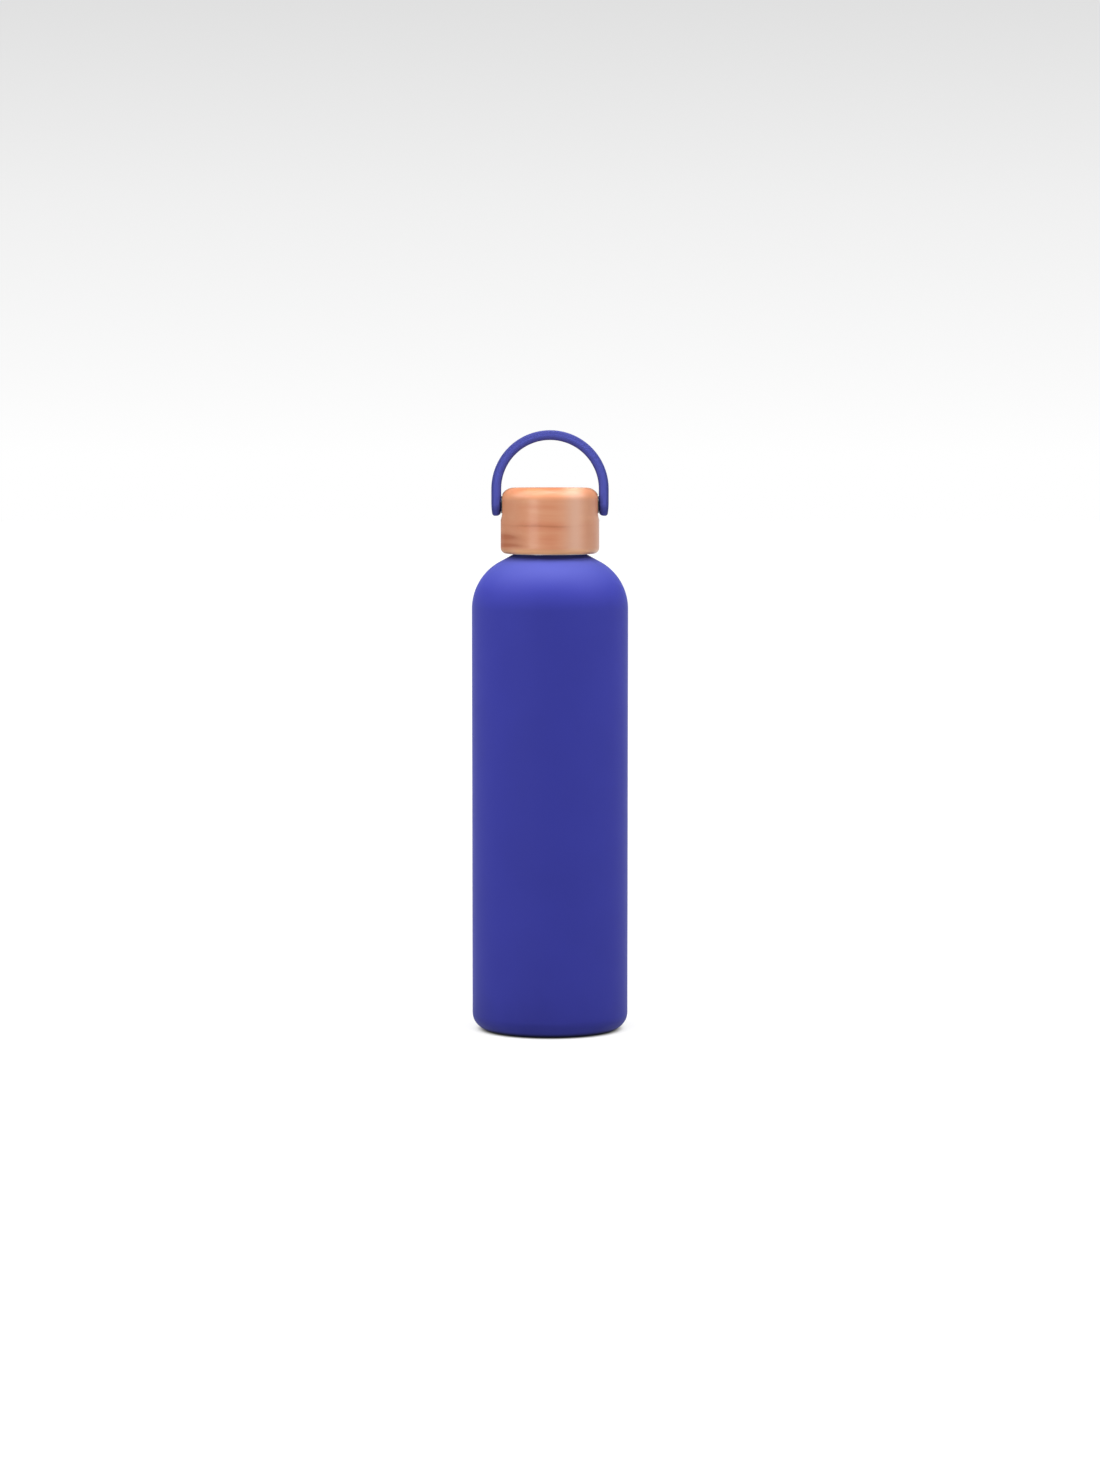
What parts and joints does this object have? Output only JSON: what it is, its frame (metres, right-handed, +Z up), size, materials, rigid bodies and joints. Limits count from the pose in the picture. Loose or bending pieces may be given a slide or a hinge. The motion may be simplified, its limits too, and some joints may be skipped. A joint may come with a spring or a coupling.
{
  "type": "water bottle",
  "caption": "Slim straight-walled insulated bottle with domed shoulder, matte blue coat, turned wooden screw cap and arched swinging bail handle.",
  "frame": {"origin": "middle of the foot ring, on the surface the bottle stands on", "axes": "+Z up along the bottle's axis, +X and -X along the bail's pivots, -Y is the front view"},
  "size_m": [0.073, 0.073, 0.2808],
  "materials": {
    "blue_coat": "matte powder coat",
    "blue_strap": "matte moulded",
    "wood": "turned, clear lacquer",
    "copper": "spun copper, satin",
    "steel": "brushed stainless",
    "brass": "turned",
    "solder": "dull",
    "getter_metal": "sintered, matte",
    "liner_plastic": "moulded polypropylene",
    "nylon": "moulded nylon",
    "silicone": "translucent white silicone"
  },
  "bodies": {
    "bottle": {"outer_shell": "blue_coat", "outer_base": "steel", "base_plate": "steel", "vacuum_seal": "solder", "getter_cup": "steel", "getter_pellet": "getter_metal", "inner_vessel": "copper", "inner_base": "copper", "neck_collar": "steel"},
    "closure_seal": {"cap_seal": "silicone"},
    "cap": {"cap_shell": "wood", "cap_liner": "liner_plastic", "liner_disc": "steel", "liner_screws": "steel", "pivot_insert_left": "brass", "pivot_insert_right": "brass", "bail_washer_left": "nylon", "bail_washer_right": "nylon", "pivot_screw_left": "steel", "pivot_screw_right": "steel"},
    "bail": {"bail": "blue_strap"}
  },
  "joints": [
    {"name": "cap_lift", "type": "slide", "parent": "bottle", "child": "closure_seal", "axis": [0, 0, 1], "range_m": [0, 0.024]},
    {"name": "cap_turn", "type": "hinge", "parent": "closure_seal", "child": "cap", "pos_m": [0, 0, 0.2391], "axis": [0, 0, 1], "range_deg": [0, 2160]},
    {"name": "bail_swing", "type": "hinge", "parent": "cap", "child": "bail", "pos_m": [0, 0, 0.2462], "axis": [1, 0, 0], "range_deg": [-120, 120]}
  ],
  "couplings": [
    {"joint": "cap_lift", "follows": "cap_turn", "m_per_rad": 0.00063662}
  ]
}
